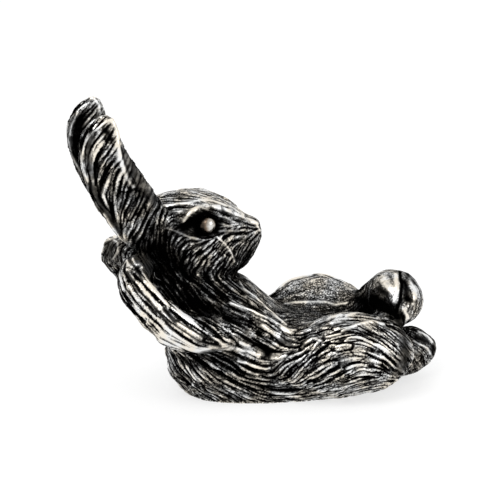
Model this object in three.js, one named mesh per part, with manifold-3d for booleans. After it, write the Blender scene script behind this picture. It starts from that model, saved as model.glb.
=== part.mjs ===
// A rabbit figurine in cast pewter: it lies back on its rump with its arms folded behind its head and one
// leg crossed over the other. Separate castings seat in sockets and are soldered into one ornament.
// Millimetres, +X towards the feet, +Y to the rabbit's left, +Z up from the table under the hips.

import * as THREE from 'three';
import { mergeVertices } from 'three/addons/utils/BufferGeometryUtils.js';
import Module from 'manifold-3d';

// Joins between castings
const SOLDER_GAP = 0.3;
const PEG_RADIUS = 1.8;
const PEG_LENGTH = 6;

// Torso: points of the spine, and how far the oval section reaches from it to the side, front and back
const PELVIS_FRONT = 19;
const HIP_FORWARD = 5;
const HIP_HEIGHT = 9;
const HIP_HALF_WIDTH = 13;
const HIP_TOP = 5.4;
const HIP_BOTTOM = 16;
const PELVIS_DROP = 1.5;
const PELVIS_HALF_WIDTH = 10.5;
const PELVIS_TOP = 5.8;
const PELVIS_BOTTOM = 12;
const BELLY_BACK = 4;
const BELLY_HEIGHT = 11.5;
const BELLY_HALF_WIDTH = 13.6;
const BELLY_FRONT = 5.6;
const WAIST_BACK = 12;
const WAIST_HEIGHT = 16.5;
const WAIST_HALF_WIDTH = 13.4;
const WAIST_FRONT = 7.3;
const SEAT_DEPTH = 19;
const TRUNK_FULLNESS = 2.25;
const RUMP_BACK = 25.6;
const RUMP_HEIGHT = 8.2;
const RUMP_LIFT = 1.8;
const RUMP_HALF_WIDTH = 12.6;
const RUMP_HALF_HEIGHT = 9.4;
const CHEST_BACK = 19;
const CHEST_HEIGHT = 22;
const CHEST_HALF_WIDTH = 11.8;
const CHEST_FRONT = 6.5;
const CHEST_DEPTH = 11;
const NECK_BACK = 23.5;
const NECK_HEIGHT = 27.5;
const NECK_HALF_WIDTH = 8;
const NECK_HALF_DEPTH = 5.6;
const NECK_SPIGOT = 5;

// Head: measured from its middle, which stands over the neck
const HEAD_FORWARD = 3.5;
const HEAD_RISE = 7;
const SKULL_BACK = 12;
const SKULL_HALF_WIDTH = 8.9;
const SKULL_TOP = 8.6;
const SKULL_BOTTOM = 9;
const SKULL_FULLNESS = 2.4;
const NAPE_RISE = 0.8;
const NAPE_HALF_WIDTH = 7.2;
const NAPE_HALF_HEIGHT = 6.4;
const FOREHEAD_FORWARD = 4.5;
const FOREHEAD_DROP = 0.9;
const FOREHEAD_HALF_WIDTH = 7.7;
const FOREHEAD_TOP = 7.1;
const FOREHEAD_BOTTOM = 8.6;
const MUZZLE_LENGTH = 5.2;
const MUZZLE_HALF_WIDTH = 5;
const MUZZLE_TOP = 5.6;
const MUZZLE_BOTTOM = 7.6;
const NOSE_FORWARD = 14;
const NOSE_DROP = 1.6;
const NOSE_DEPTH = 1.9;
const NOSE_HALF_WIDTH = 2.9;
const NOSE_TOP = 3.7;
const NOSE_BOTTOM = 4.4;
const CHEEK_BACK = 7.5;
const CHEEK_FRONT = 10;
const CHEEK_SPREAD = 4.9;
const CHEEK_DRAW = 3.2;
const CHEEK_DROP = 4.7;
const CHEEK_LIFT = 1.4;
const CHEEK_HALF_WIDTH = 3.9;
const CHEEK_HALF_HEIGHT = 5.5;
const BROW_RADIUS = 1.1;
const BROW_BACK = 5.5;
const BROW_FRONT = 10.5;
const BROW_RISE = 2.9;
const BROW_INSET = 1.3;

// Eyes: beads pressed into the head below the brow
const EYE_RADIUS = 1.85;
const EYE_RISE = 3;
const EYE_SINK = 1.75;
const EYE_FORWARD = 1.2;
const EYE_HOLLOW_LENGTH = 9;
const EYE_HOLLOW_HEIGHT = 4.6;
const EYE_HOLLOW_DEPTH = 1.7;

// Ears: leaf-shaped blades that sweep back and up, dished on the outer side
const EAR_RISE = 24.3;
const EAR_SWEEP = 10.5;
const EAR_SPREAD = 3;
const EAR_HALF_WIDTH = 5.3;
const EAR_HALF_THICKNESS = 2.1;
const EAR_RIM = 1.3;
const EAR_DISH_DEPTH = 1.3;
const EAR_ROOT_BACK = 10.5;
const EAR_ROOT_RISE = 2.5;
const EAR_ROOT_OUT = 6;
const EAR_TENON = 5;

// Arms: back along the flank, up to the elbow and in behind the head
const ARM_RADIUS = 4.1;
const ELBOW_RADIUS = 3.7;
const PAW_RADIUS = 3;
const ARM_FRONT = 7;
const ARM_BACK = 12.2;
const ARM_LOW = 7.5;
const ARM_SPREAD = 2.6;
const ELBOW_BACK = 14;
const ELBOW_DROP = 8.2;
const ELBOW_SPREAD = 1.6;
const PAW_DROP = 5.8;
const PAW_SPREAD = 1;
const PAW_REACH = 5.5;
const ARM_LOCKS = 5;
const LOCK_DEPTH = 0.45;
const LOCK_TWIST = 0.7;

// Thighs: egg-shaped haunches lying out at the sides
const THIGH_LENGTH = 30;
const THIGH_BACK = 8;
const THIGH_HALF_WIDTH = 8;
const THIGH_HALF_HEIGHT = 9.3;
const THIGH_HEIGHT = 9.5;
const THIGH_TAPER = 4;
const LEFT_THIGH_RISE = 1.5;
const LEFT_KNEE_DROP = 2.8;
const THIGH_OUT = 1.2;
const KNEE_DROP = 4;
const KNEE_HALF_WIDTH = 5;
const KNEE_HALF_HEIGHT = 5.6;

// Feet: the right one lies forward on the table, the left one crosses over the right knee
const FOOT_HALF_WIDTH = 4.8;
const FOOT_HALF_HEIGHT = 5.2;
const HEEL_BACK = 8;
const HEEL_INWARDS = 3;
const HEEL_RISE = 0.8;
const RIGHT_FOOT_LENGTH = 17.2;
const SHANK_LENGTH = 10;
const LEFT_FOOT_HALF_WIDTH = 5.8;
const LEFT_FOOT_HALF_HEIGHT = 5.6;
const LEFT_FOOT_RISE = 18;
const TOE_SPACING = 3.4;
const TOE_GROOVE_WIDTH = 0.9;
const TOE_GROOVE_LENGTH = 5;

const wasm = await Module();
wasm.setup();

const RIGHT = -1;
const LEFT = 1;
const ACROSS = new THREE.Vector3(0, 1, 0);
const FORWARD = new THREE.Vector3(1, 0, 0);

const vector = (x, y, z) => new THREE.Vector3(x, y, z);
const station = (at, wide = 0, high = wide, low = high) => ({ at, wide, high, low });

// A closed mesh of merged points as a solid that can be joined and cut
function solidOf(geometry) {
  const bare = geometry.clone();
  bare.deleteAttribute('normal');
  bare.deleteAttribute('uv');
  const merged = mergeVertices(bare);
  const vertProperties = new Float32Array(merged.attributes.position.array);
  const triVerts = new Uint32Array(merged.index.array);
  return new wasm.Manifold(new wasm.Mesh({ numProp: 3, vertProperties, triVerts }));
}

function geometryOf(solid) {
  const { vertProperties, triVerts } = solid.getMesh();
  const geometry = new THREE.BufferGeometry();
  geometry.setAttribute('position', new THREE.BufferAttribute(new Float32Array(vertProperties), 3));
  geometry.setIndex(new THREE.BufferAttribute(new Uint32Array(triVerts), 1));
  geometry.computeVertexNormals();
  return geometry;
}

// The squares of the half-sizes are what runs smoothly from station to station, so a size of nothing at
// an end gives a round end
function sizeAlong(stations, key) {
  const places = stations.map((_, index) => index / (stations.length - 1));
  const squares = stations.map((item) => item[key] ** 2);
  const curve = new THREE.CubicInterpolant(places, squares, 1, new Float32Array(1));
  return (t) => Math.sqrt(Math.max(curve.evaluate(t)[0], 0));
}

// A solid of oval sections along a smooth spine, closed by a pole at each end. wide is measured towards
// side, high square to it and low the opposite way. Above 2, fullness squares the ovals off. grow swells
// the solid all round, which is how a socket gets its clearance. locks parts the surface into that many
// lengthwise locks of fur: the grooves between them go grooveShare of the half-size deep and turn by twist.
function loft(stations, {
  side = ACROSS, grow = 0, sides = 20, rings = 16, fullness = 2, locks = 0, grooveShare = 0, twist = 0,
} = {}) {
  const spine = new THREE.CatmullRomCurve3(stations.map((item) => item.at), false, 'centripetal');
  const wideAt = sizeAlong(stations, 'wide');
  const highAt = sizeAlong(stations, 'high');
  const lowAt = sizeAlong(stations, 'low');
  const squared = (value) => Math.sign(value) * Math.abs(value) ** (2 / fullness);
  const points = [];
  const faces = [];
  const firstPole = spine.getPoint(0).addScaledVector(spine.getTangent(0), -grow);
  points.push(...firstPole.toArray());
  for (let ring = 1; ring < rings; ring += 1) {
    const t = (1 - Math.cos(Math.PI * ring / rings)) / 2;
    const along = spine.getTangent(t);
    const across = side.clone().addScaledVector(along, -side.dot(along)).normalize();
    const up = along.clone().cross(across);
    for (let corner = 0; corner < sides; corner += 1) {
      const turn = 2 * Math.PI * corner / sides;
      const angle = turn + twist * t;
      const crest = 1 - grooveShare * (1 - Math.abs(Math.cos(locks * turn / 2)));
      const point = spine.getPoint(t);
      const height = Math.sin(angle) > 0 ? highAt(t) : lowAt(t);
      point.addScaledVector(across, (crest * wideAt(t) + grow) * squared(Math.cos(angle)));
      point.addScaledVector(up, (crest * height + grow) * squared(Math.sin(angle)));
      points.push(...point.toArray());
    }
  }
  const lastPole = spine.getPoint(1).addScaledVector(spine.getTangent(1), grow);
  points.push(...lastPole.toArray());
  const lastIndex = points.length / 3 - 1;
  const indexOf = (ring, corner) => 1 + (ring - 1) * sides + corner % sides;
  for (let corner = 0; corner < sides; corner += 1) {
    faces.push(0, indexOf(1, corner + 1), indexOf(1, corner));
    faces.push(lastIndex, indexOf(rings - 1, corner), indexOf(rings - 1, corner + 1));
    for (let ring = 1; ring < rings - 1; ring += 1) {
      faces.push(indexOf(ring, corner), indexOf(ring, corner + 1), indexOf(ring + 1, corner + 1));
      faces.push(indexOf(ring, corner), indexOf(ring + 1, corner + 1), indexOf(ring + 1, corner));
    }
  }
  const geometry = new THREE.BufferGeometry();
  geometry.setAttribute('position', new THREE.BufferAttribute(new Float32Array(points), 3));
  geometry.setIndex(faces);
  return solidOf(geometry);
}

function ball(centre, radius) {
  const geometry = new THREE.SphereGeometry(radius, 16, 10);
  return solidOf(geometry.translate(...centre.toArray()));
}

function peg(from, to, radius) {
  const axis = to.clone().sub(from);
  const geometry = new THREE.CylinderGeometry(radius, radius, axis.length(), 16);
  const turn = new THREE.Quaternion().setFromUnitVectors(ACROSS, axis.clone().normalize());
  geometry.applyQuaternion(turn);
  return solidOf(geometry.translate(...from.clone().add(to).multiplyScalar(0.5).toArray()));
}

// A lens-shaped cutter that leaves a groove with sloping sides, across the given axis
function grooveCutter(centre, axis) {
  const geometry = new THREE.SphereGeometry(TOE_GROOVE_LENGTH, 14, 8);
  const flat = TOE_GROOVE_WIDTH / TOE_GROOVE_LENGTH / 2;
  geometry.scale(axis === FORWARD ? flat : 1, axis === ACROSS ? flat : 1, 1);
  return solidOf(geometry.translate(...centre.toArray()));
}

const unite = (solids) => solids.reduce((whole, solid) => whole.add(solid));
const cut = (solid, cutters) => cutters.reduce((left, cutter) => left.subtract(cutter), solid);

// Everything below the table top is cut away, which leaves the flat underside
const TABLE_BLOCK = 200;
const belowTable = solidOf(
  new THREE.BoxGeometry(TABLE_BLOCK, TABLE_BLOCK, TABLE_BLOCK).translate(0, 0, -TABLE_BLOCK / 2),
);

// Places that several castings share
const chest = vector(-CHEST_BACK, 0, CHEST_HEIGHT);
const neck = vector(-NECK_BACK, 0, NECK_HEIGHT);
const headMiddle = neck.clone().add(vector(HEAD_FORWARD, 0, HEAD_RISE));
const fromHead = (forward, across, up) => headMiddle.clone().add(vector(forward, across, up));

function trunkForm(grow) {
  const spinePoint = (back, height) => vector(-back, 0, height);
  const pelvis = spinePoint(-PELVIS_FRONT * 0.7, HIP_HEIGHT - PELVIS_DROP);
  return loft([
    station(neck.clone().add(vector(-NECK_SPIGOT * 0.2, 0, NECK_SPIGOT))),
    station(neck, NECK_HALF_WIDTH, NECK_HALF_DEPTH),
    station(chest, CHEST_HALF_WIDTH, CHEST_FRONT, CHEST_DEPTH),
    station(spinePoint(WAIST_BACK, WAIST_HEIGHT), WAIST_HALF_WIDTH, WAIST_FRONT, SEAT_DEPTH),
    station(spinePoint(BELLY_BACK, BELLY_HEIGHT), BELLY_HALF_WIDTH, BELLY_FRONT, SEAT_DEPTH),
    station(spinePoint(-HIP_FORWARD, HIP_HEIGHT), HIP_HALF_WIDTH, HIP_TOP, HIP_BOTTOM),
    station(pelvis, PELVIS_HALF_WIDTH, PELVIS_TOP, PELVIS_BOTTOM),
    station(spinePoint(-PELVIS_FRONT, HIP_HEIGHT - 2 * PELVIS_DROP)),
  ], { grow, sides: 24, rings: 18, fullness: TRUNK_FULLNESS });
}

// The rounded seat behind the hips, which runs forward into the trunk
function rumpForm(grow) {
  const at = (share, lift) => vector(-RUMP_BACK * share, 0, RUMP_HEIGHT + lift);
  return loft([
    station(at(1, RUMP_LIFT)),
    station(at(0.78, 0), RUMP_HALF_WIDTH * 0.85, RUMP_HALF_HEIGHT * 0.95),
    station(at(0.45, 0), RUMP_HALF_WIDTH, RUMP_HALF_HEIGHT),
    station(at(0.05, -RUMP_LIFT), RUMP_HALF_WIDTH * 0.9, RUMP_HALF_HEIGHT * 0.8),
    station(at(-0.3, -RUMP_LIFT)),
  ], { grow, sides: 20, rings: 14, fullness: TRUNK_FULLNESS });
}

const torsoForm = (grow) => trunkForm(grow).add(rumpForm(grow));

function skullForm(grow) {
  const forehead = fromHead(FOREHEAD_FORWARD, 0, -FOREHEAD_DROP);
  return loft([
    station(fromHead(-SKULL_BACK, 0, NAPE_RISE)),
    station(fromHead(-SKULL_BACK * 0.7, 0, NAPE_RISE), NAPE_HALF_WIDTH, NAPE_HALF_HEIGHT),
    station(headMiddle, SKULL_HALF_WIDTH, SKULL_TOP, SKULL_BOTTOM),
    station(forehead, FOREHEAD_HALF_WIDTH, FOREHEAD_TOP, FOREHEAD_BOTTOM),
    station(fromHead(NOSE_FORWARD - MUZZLE_LENGTH, 0, -NOSE_DROP), MUZZLE_HALF_WIDTH, MUZZLE_TOP, MUZZLE_BOTTOM),
    station(fromHead(NOSE_FORWARD - NOSE_DEPTH, 0, -NOSE_DROP), NOSE_HALF_WIDTH, NOSE_TOP, NOSE_BOTTOM),
    station(fromHead(NOSE_FORWARD, 0, -NOSE_DROP)),
  ], { grow, sides: 20, rings: 16, fullness: SKULL_FULLNESS });
}

function cheekForm(hand, grow) {
  const at = (forward, inwards, lift) => fromHead(forward, hand * (CHEEK_SPREAD - inwards), lift - CHEEK_DROP);
  return loft([
    station(at(-CHEEK_BACK, 0, CHEEK_LIFT)),
    station(at(-CHEEK_BACK * 0.4, 0, CHEEK_LIFT * 0.5), CHEEK_HALF_WIDTH * 0.85, CHEEK_HALF_HEIGHT * 0.95),
    station(at(CHEEK_FRONT * 0.2, 0, 0), CHEEK_HALF_WIDTH, CHEEK_HALF_HEIGHT),
    station(at(CHEEK_FRONT * 0.65, CHEEK_DRAW / 2, 0), CHEEK_HALF_WIDTH * 0.77, CHEEK_HALF_HEIGHT * 0.8),
    station(at(CHEEK_FRONT, CHEEK_DRAW, 0)),
  ], { grow, sides: 14, rings: 10 });
}

// The brow arches over the eye and runs down to the muzzle, following the narrowing head
function browForm(hand) {
  const at = (forward, inset, rise) => fromHead(forward, hand * (SKULL_HALF_WIDTH - inset), EYE_RISE + rise);
  return loft([
    station(at(-BROW_BACK, BROW_INSET, BROW_RISE * 0.1)),
    station(at(-BROW_BACK * 0.55, BROW_INSET, BROW_RISE * 0.7), BROW_RADIUS),
    station(at(BROW_FRONT * 0.2, BROW_INSET * 1.5, BROW_RISE), BROW_RADIUS),
    station(at(BROW_FRONT * 0.67, BROW_INSET * 3.4, BROW_RISE * 0.45), BROW_RADIUS),
    station(at(BROW_FRONT, BROW_INSET * 5, -BROW_RISE * 0.2)),
  ], { sides: 8, rings: 10 });
}

const eyeMiddle = (hand) => fromHead(EYE_FORWARD, hand * (SKULL_HALF_WIDTH - EYE_SINK), EYE_RISE);

// An almond-shaped hollow round the eye, drawn in towards the nose
function eyeHollow(hand) {
  const half = EYE_HOLLOW_LENGTH / 2;
  const skin = eyeMiddle(hand).add(vector(0, hand * EYE_SINK * 0.75, 0));
  return loft([
    station(skin.clone().add(vector(-half, 0, -EYE_HOLLOW_HEIGHT * 0.1))),
    station(skin, EYE_HOLLOW_DEPTH, EYE_HOLLOW_HEIGHT / 2),
    station(skin.clone().add(vector(half, -hand * EYE_HOLLOW_DEPTH * 0.7, -EYE_HOLLOW_HEIGHT * 0.1))),
  ], { sides: 12, rings: 10 });
}

// The ear's axis leaves the head leaning back, straightens and nods forward at its tip
function earStations(hand) {
  const root = fromHead(-EAR_ROOT_BACK, hand * EAR_ROOT_OUT, EAR_ROOT_RISE);
  const along = (sweep, rise, spread) => root.clone().add(
    vector(-EAR_SWEEP * sweep, hand * EAR_SPREAD * spread, EAR_RISE * rise));
  return [
    station(root.clone().add(vector(EAR_TENON * 0.8, -hand * EAR_TENON * 0.2, -EAR_TENON * 0.6))),
    station(root, EAR_HALF_THICKNESS, EAR_HALF_WIDTH),
    station(along(0.36, 0.22, 0.5), EAR_HALF_THICKNESS, EAR_HALF_WIDTH * 1.1),
    station(along(0.72, 0.47, 0.8), EAR_HALF_THICKNESS * 0.95, EAR_HALF_WIDTH * 1.06),
    station(along(0.92, 0.75, 1), EAR_HALF_THICKNESS * 0.85, EAR_HALF_WIDTH * 0.88),
    station(along(0.78, 1, 1)),
  ];
}

const earForm = (hand, grow) => loft(earStations(hand), { grow, sides: 14, rings: 14 });

function earDish(hand) {
  const outwards = vector(0, hand * (2 * EAR_HALF_THICKNESS - EAR_DISH_DEPTH), 0);
  const [, root, ...blade] = earStations(hand);
  const tip = blade.pop();
  return loft([
    station(root.at.clone().add(outwards)),
    ...blade.map((item) => station(item.at.clone().add(outwards), item.wide, item.high - EAR_RIM)),
    station(tip.at.clone().lerp(blade.at(-1).at, 0.3).add(outwards)),
  ], { sides: 12, rings: 12 });
}

// A socket takes the arm's plain form, and the casting itself has its locks of fur
function armForm(hand, grow, grooveShare = 0) {
  const fromChest = (back, spread, rise) => chest.clone().add(
    vector(-back, hand * (CHEST_HALF_WIDTH + spread), rise));
  const paw = (reach, spread) => fromHead(-ELBOW_BACK + reach, hand * spread, -PAW_DROP);
  const elbow = fromHead(-ELBOW_BACK, hand * (CHEST_HALF_WIDTH + ELBOW_SPREAD), -ELBOW_DROP);
  return loft([
    station(fromChest(-ARM_FRONT, -ARM_SPREAD * 0.8, -ARM_LOW)),
    station(fromChest(-ARM_FRONT * 0.15, ARM_SPREAD * 0.15, -ARM_LOW * 0.87), ARM_RADIUS * 0.85),
    station(fromChest(ARM_BACK * 0.57, ARM_SPREAD, -ARM_LOW * 0.53), ARM_RADIUS),
    station(fromChest(ARM_BACK, ARM_SPREAD, ARM_LOW * 0.07), ARM_RADIUS),
    station(elbow, ELBOW_RADIUS),
    station(paw(0, SKULL_HALF_WIDTH), PAW_RADIUS * 1.1),
    station(paw(PAW_REACH * 0.4, SKULL_HALF_WIDTH / 2), PAW_RADIUS),
    station(paw(PAW_REACH, PAW_SPREAD)),
  ], {
    grow, side: vector(0.8, 0, 0.6), sides: 4 * ARM_LOCKS, rings: 18,
    locks: ARM_LOCKS, grooveShare, twist: hand * LOCK_TWIST,
  });
}

// The left haunch stands higher than the right one, and its knee lies lower
const thighRise = (hand) => (hand === LEFT ? LEFT_THIGH_RISE : 0);
const kneeDrop = (hand) => (hand === LEFT ? LEFT_KNEE_DROP : 0);
const thighSpread = HIP_HALF_WIDTH - THIGH_OUT;

function thighPoint(hand, share, outwards, drop) {
  return vector(
    THIGH_LENGTH * share - THIGH_BACK, hand * (thighSpread + outwards), THIGH_HEIGHT + thighRise(hand) - drop);
}

const knee = (hand) => thighPoint(hand, 1, 0, KNEE_DROP + kneeDrop(hand));

function thighForm(hand, grow) {
  const rearDrop = THIGH_TAPER * 0.3;
  return loft([
    station(thighPoint(hand, 0, -THIGH_HALF_WIDTH * 0.4, rearDrop)),
    station(thighPoint(hand, 0.22, -THIGH_HALF_WIDTH * 0.1, rearDrop),
      THIGH_HALF_WIDTH - THIGH_TAPER / 2, THIGH_HALF_HEIGHT - THIGH_TAPER),
    station(thighPoint(hand, 0.52, 0, 0), THIGH_HALF_WIDTH, THIGH_HALF_HEIGHT),
    station(thighPoint(hand, 0.8, 0, KNEE_DROP * 0.2 + kneeDrop(hand)),
      THIGH_HALF_WIDTH * 0.94, THIGH_HALF_HEIGHT * 0.9),
    station(thighPoint(hand, 0.95, 0, KNEE_DROP * 0.7 + kneeDrop(hand)), KNEE_HALF_WIDTH, KNEE_HALF_HEIGHT),
    station(knee(hand)),
  ], { grow, sides: 20, rings: 18 });
}

function thighPeg(hand, grow) {
  const seat = vector(THIGH_LENGTH * 0.38 - THIGH_BACK, hand * (HIP_HALF_WIDTH - THIGH_HALF_WIDTH), THIGH_HEIGHT);
  const inner = seat.clone().add(vector(0, -hand * (PEG_LENGTH - THIGH_OUT - PEG_RADIUS + grow), 0));
  const outer = seat.clone().add(vector(0, hand * PEG_LENGTH, 0));
  return peg(outer, inner, PEG_RADIUS + grow);
}

const rightHeel = knee(RIGHT).add(vector(-HEEL_BACK, HEEL_INWARDS, HEEL_RISE));
const rightToes = rightHeel.clone().add(vector(RIGHT_FOOT_LENGTH, RIGHT_FOOT_LENGTH * 0.6, 0));

function rightFootForm(grow) {
  const between = (share) => rightHeel.clone().lerp(rightToes, share);
  return loft([
    station(rightHeel),
    station(between(0.3), FOOT_HALF_WIDTH * 0.83, FOOT_HALF_HEIGHT * 0.84),
    station(between(0.65), FOOT_HALF_WIDTH, FOOT_HALF_HEIGHT),
    station(between(0.87), FOOT_HALF_WIDTH * 0.83, FOOT_HALF_HEIGHT * 0.76),
    station(rightToes),
  ], { grow, sides: 18, rings: 14 });
}

// The left shank lies across from the left knee, and its foot stands over the right knee
const crossing = (share, rise) => vector(knee(RIGHT).x, -thighSpread * share, LEFT_FOOT_RISE + rise);
const leftToes = crossing(0.9, -LEFT_FOOT_HALF_HEIGHT * 0.28);

function leftFootForm(grow) {
  const shin = (back, share, rise) => knee(LEFT).add(
    vector(-SHANK_LENGTH * back, -thighSpread * share, SHANK_LENGTH * rise));
  return loft([
    station(shin(1, 0.1, 0.26)),
    station(shin(0.5, 0.38, 0.68), LEFT_FOOT_HALF_WIDTH * 0.7, LEFT_FOOT_HALF_HEIGHT * 0.7),
    station(crossing(-0.08, 0), LEFT_FOOT_HALF_WIDTH * 0.94, LEFT_FOOT_HALF_HEIGHT * 0.93),
    station(crossing(0.38, 0), LEFT_FOOT_HALF_WIDTH, LEFT_FOOT_HALF_HEIGHT),
    station(leftToes),
  ], { grow, side: FORWARD, sides: 18, rings: 14 });
}

// Two grooves part the end of a foot into three toes
function toeGrooves(toes, axis) {
  return [-0.5, 0.5].map((place) => grooveCutter(
    toes.clone().addScaledVector(axis, place * TOE_SPACING), axis));
}

// Castings, each cut back by the neighbours that it seats against
const hands = [RIGHT, LEFT];
const gapped = (form) => hands.map((hand) => form(hand, SOLDER_GAP));

const torso = cut(torsoForm(0), [
  ...gapped(thighForm), ...gapped(thighPeg), ...gapped(armForm),
  rightFootForm(SOLDER_GAP), leftFootForm(SOLDER_GAP), belowTable,
]);

const headBlank = unite([skullForm(0), ...hands.map((hand) => cheekForm(hand, 0)), ...hands.map(browForm)]);
const head = cut(headBlank, [
  torsoForm(SOLDER_GAP), ...hands.map(eyeHollow), ...gapped(earForm),
  ...hands.map((hand) => ball(eyeMiddle(hand), EYE_RADIUS + SOLDER_GAP)),
]);
const headGrown = unite([skullForm(SOLDER_GAP), ...gapped(cheekForm)]);

const eye = (hand) => ball(eyeMiddle(hand), EYE_RADIUS);
const ear = (hand) => cut(earForm(hand, 0), [earDish(hand), armForm(hand, SOLDER_GAP)]);
const arm = (hand) => cut(armForm(hand, 0, LOCK_DEPTH / ARM_RADIUS), [headGrown]);

function thigh(hand) {
  const whole = unite([thighForm(hand, 0), thighPeg(hand, 0)]);
  return cut(whole, [rightFootForm(SOLDER_GAP), leftFootForm(SOLDER_GAP), armForm(hand, SOLDER_GAP), belowTable]);
}

function rightFoot() {
  return cut(rightFootForm(0), [leftFootForm(SOLDER_GAP), ...toeGrooves(rightToes, ACROSS), belowTable]);
}

function leftFoot() {
  return cut(leftFootForm(0), toeGrooves(leftToes, FORWARD));
}

function pewter(brightness, roughness) {
  const color = new THREE.Color().setScalar(brightness);
  return new THREE.MeshStandardMaterial({ color, roughness, metalness: 1 });
}

// A named casting: its geometry is drawn about its own origin, and the mesh is set there within its group
function addPiece(group, name, solid, origin, material) {
  const geometry = geometryOf(solid).translate(...origin.clone().negate().toArray());
  const mesh = new THREE.Mesh(geometry, material);
  mesh.name = name;
  mesh.position.copy(origin).sub(group.position);
  group.add(mesh);
}

const figurine = new THREE.Group();
const body = new THREE.Group();
const headGroup = new THREE.Group();
headGroup.position.copy(headMiddle);
figurine.add(body, headGroup);

addPiece(body, 'torso', torso, vector(0, 0, 0), pewter(0.32, 0.45));
addPiece(headGroup, 'head', head, headMiddle, pewter(0.34, 0.42));
for (const hand of hands) {
  const name = hand === RIGHT ? 'right' : 'left';
  addPiece(headGroup, `eye_${name}`, eye(hand), eyeMiddle(hand), pewter(0.6, 0.2));
  addPiece(headGroup, `ear_${name}`, ear(hand), earStations(hand)[1].at, pewter(0.32, 0.45));
  addPiece(body, `arm_${name}`, arm(hand), chest.clone(), pewter(0.32, 0.45));
  addPiece(body, `thigh_${name}`, thigh(hand), vector(0, hand * thighSpread, THIGH_HEIGHT), pewter(0.32, 0.45));
}
addPiece(body, 'foot_right', rightFoot(), knee(RIGHT), pewter(0.3, 0.5));
addPiece(body, 'foot_left', leftFoot(), knee(LEFT), pewter(0.36, 0.42));

export default figurine;
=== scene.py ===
"""Looks of a cast pewter rabbit: a carved fur skin over the castings, two bead eyes, stage and light.

The castings are fused into one fine skin, fur is carved along drawn lines of flow, and the skin is
parted again into one closed piece for each casting. Lengths are in millimetres until a mesh is made.
"""
import itertools

import bpy
import numpy as np
from mathutils import Matrix, Vector
from mathutils.bvhtree import BVHTree
from mathutils.kdtree import KDTree


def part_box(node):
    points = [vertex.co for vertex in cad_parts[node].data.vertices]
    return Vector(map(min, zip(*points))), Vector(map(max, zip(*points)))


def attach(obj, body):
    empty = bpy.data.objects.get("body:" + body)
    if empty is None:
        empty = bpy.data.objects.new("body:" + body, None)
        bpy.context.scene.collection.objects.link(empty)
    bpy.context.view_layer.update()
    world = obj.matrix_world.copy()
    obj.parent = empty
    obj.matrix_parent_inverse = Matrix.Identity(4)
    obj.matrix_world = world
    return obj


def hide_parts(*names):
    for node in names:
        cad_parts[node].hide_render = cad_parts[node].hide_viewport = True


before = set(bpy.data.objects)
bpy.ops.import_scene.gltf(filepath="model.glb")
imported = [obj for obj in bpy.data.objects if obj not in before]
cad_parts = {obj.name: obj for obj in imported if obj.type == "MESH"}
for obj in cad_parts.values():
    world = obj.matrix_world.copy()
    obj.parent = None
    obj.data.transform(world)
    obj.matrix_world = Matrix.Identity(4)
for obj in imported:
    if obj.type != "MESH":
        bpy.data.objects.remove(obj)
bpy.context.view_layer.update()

MM = 0.001
FAR = 1e9

# Skin: voxel sizes of the smoothed form, of its coarse copy for shade, and of the carved surface
FORM_VOXEL = 0.45
SHADE_VOXEL = 0.9
SKIN_VOXEL = 0.22

# Which fur each casting wears
SKIN_NODES = {
    "torso": "torso", "head": "head", "ear_left": "ear", "ear_right": "ear",
    "arm_left": "arm", "arm_right": "arm", "thigh_left": "thigh", "thigh_right": "thigh",
    "foot_left": "crossed_foot", "foot_right": "lying_foot",
}

# Kinds of fur whose sides that face the middle of the body are drawn apart
INNER = {"ear": "inner_ear", "arm": "inner_arm", "thigh": "inner_thigh"}

# Smoothing: growth that closes the seams between castings, rounds on the form and on the skin, how far each
# pulls in and pushes back, and the kind of casting that is smoothed more
SEAM_GROWTH = 0.25
FORM_SMOOTHING = 6
SKIN_SMOOTHING = 3
PULL = 0.5
PUSH = 0.51
SOFT_KIND = "thigh"
SOFT_ROUNDS = 24

# Rounds in which values are evened out, on the form and then on the skin
OWNER_ROUNDS = 8
BORDER_ROUNDS = 6
SWELL_ROUNDS = 40
FORM_ROUNDS = {"style": 8, "flow": 12, "sky": 6, "swell": 4}
SKIN_ROUNDS = 4

# Creases: rounds and step of filling, the height where it ends and how far below that it fades, and how much
# each kind of casting gets
FILLET_ROUNDS = 60
FILLET_STEP = 0.8
FILLET_TOP = 21.0
FILLET_FADE = 5.0
FILLET = {
    "torso": 1.0, "head": 0.0, "ear": 0.0, "arm": 0.5, "thigh": 1.0,
    "crossed_foot": 0.3, "lying_foot": 0.3,
}

# Underside: nothing is carved below the clearance, and points below the height are drawn down
TABLE_CLEARANCE = 0.25
BASE_HEIGHT = 2.5
FORM_DROP = 0.3
SKIN_DROP = 0.15

# Hairs: thickness in narrow and in wide locks, those widths, the steps that draw hairs out and how fast they
# fade, their length as a share of the lock's, and the rounds that balance light and dark
FINE_HAIR = 0.22
COARSE_HAIR = 0.46
NARROW_LOCK = 0.7
WIDE_LOCK = 1.9
STEP = 0.32
STEPS = 16
LEAST_STEPS = 2
HAIR_FADE = 2
HAIR_LENGTH = 0.8
HAIR_BALANCE = 10

# Bends: how far the flow of the fur wavers, and over what distance
BEND = 0.5
BEND_CELL = 2.8

# Locks: how far their edges wander and over what distance, as shares of the width, how many lengths away and
# in what blocks they are sought, and how much farther off a lock counts that faces the other way
WANDER = 0.5
WANDER_CELL = 0.8
LOCK_SEARCH = 1.3
BLOCK = 4.0
BLOCK_KEYS = (1, 1000, 1000000)
OTHER_WAY = 9

# Carving: how much of a crest is lock and how much hair, the edges over which each rises, the share of the
# depth that is cut into the form, how much locks differ in height, and the depth of a full finish
RIDGE_SHARE = 0.7
RIDGE_EDGE = (0.0, 0.6)
HAIR_SHARE = 0.3
HAIR_EDGE = (0.1, 0.8)
CUT_SHARE = 0.8
LOCK_RISE = 0.3
FULL_DEPTH = 0.35

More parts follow.
